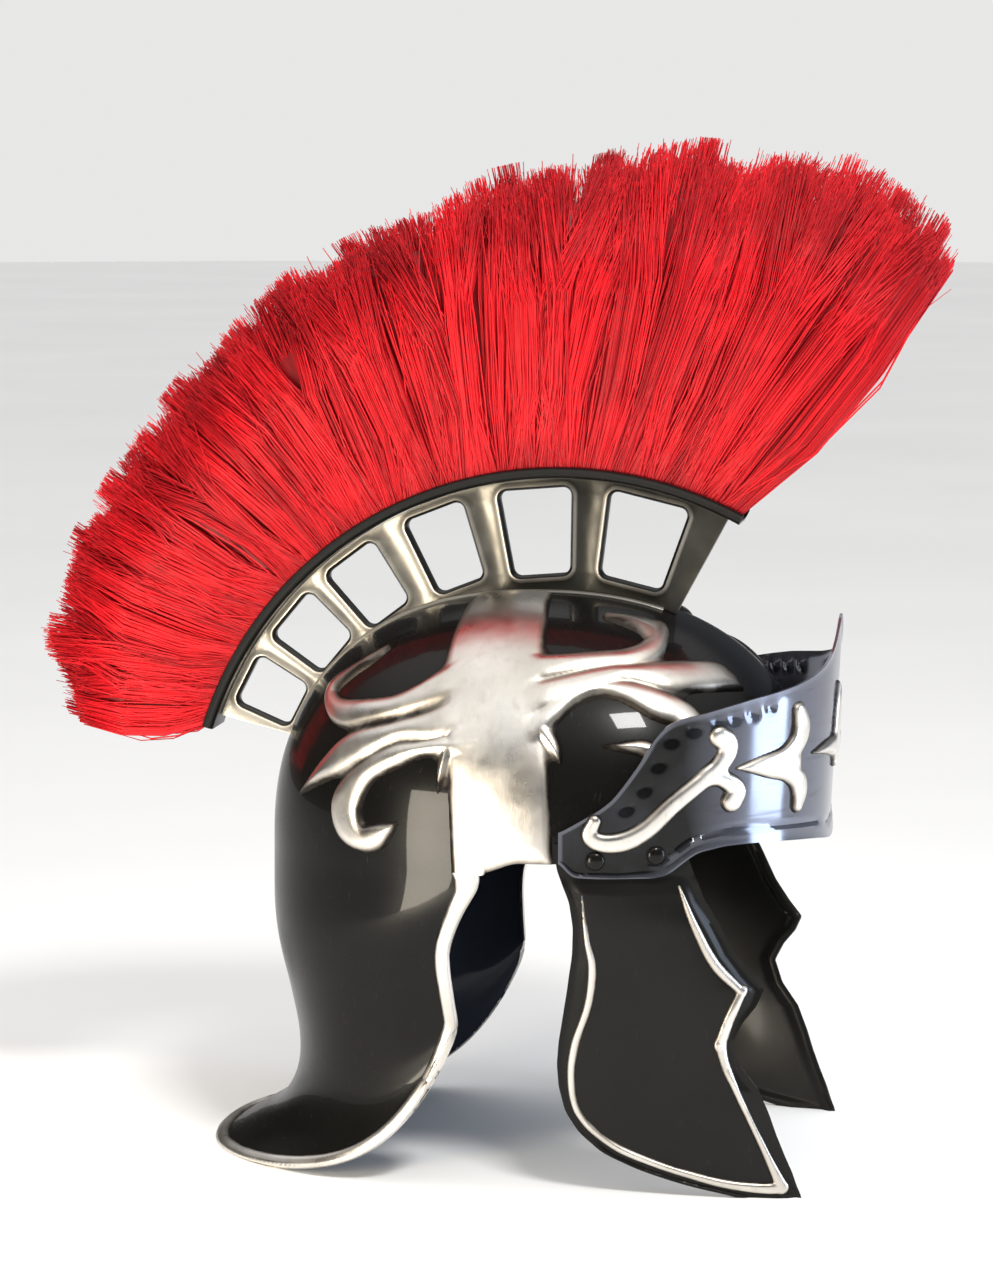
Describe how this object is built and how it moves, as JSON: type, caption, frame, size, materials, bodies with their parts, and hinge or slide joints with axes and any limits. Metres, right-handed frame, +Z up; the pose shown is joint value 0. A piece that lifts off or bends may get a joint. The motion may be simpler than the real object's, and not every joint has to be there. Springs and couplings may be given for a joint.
{
  "type": "roman legionary helmet",
  "caption": "Domed helmet with a flared neck guard, cheek guards, a high brow band, silver scroll relief and a fore-and-aft bristle crest on a pierced holder.",
  "frame": {"origin": "middle of the footprint, on the surface the helmet stands on", "axes": "+X to the front of the helmet, +Y to its left side, +Z up along the crest's height"},
  "size_m": [0.393, 0.203, 0.4342],
  "materials": {
    "black_paint": "gloss black paint over sheet steel",
    "gunmetal": "satin gunmetal paint",
    "bright_steel": "hand-rubbed silver relief with tarnish",
    "dark_steel": "dark polished steel",
    "red_bristle": "stiff dyed bristle"
  },
  "bodies": {
    "root": {"skull": "black_paint", "neck_edge": "bright_steel", "crest_holder": "gunmetal", "crest_channel": "black_paint", "plume": "red_bristle", "brow_band": "dark_steel", "brow_scroll_centre": "bright_steel", "scroll_right": "bright_steel", "scroll_left": "bright_steel", "brow_scroll_right": "bright_steel", "brow_scroll_left": "bright_steel", "brow_arrow_right": "bright_steel", "brow_arrow_left": "bright_steel", "cheek_guard_right": "black_paint", "cheek_guard_left": "black_paint", "cheek_line_right": "bright_steel", "cheek_line_left": "bright_steel", "rivet_rear_right": "black_paint", "rivet_rear_left": "black_paint", "rivet_front_right": "black_paint", "rivet_front_left": "black_paint"}
  },
  "joints": []
}
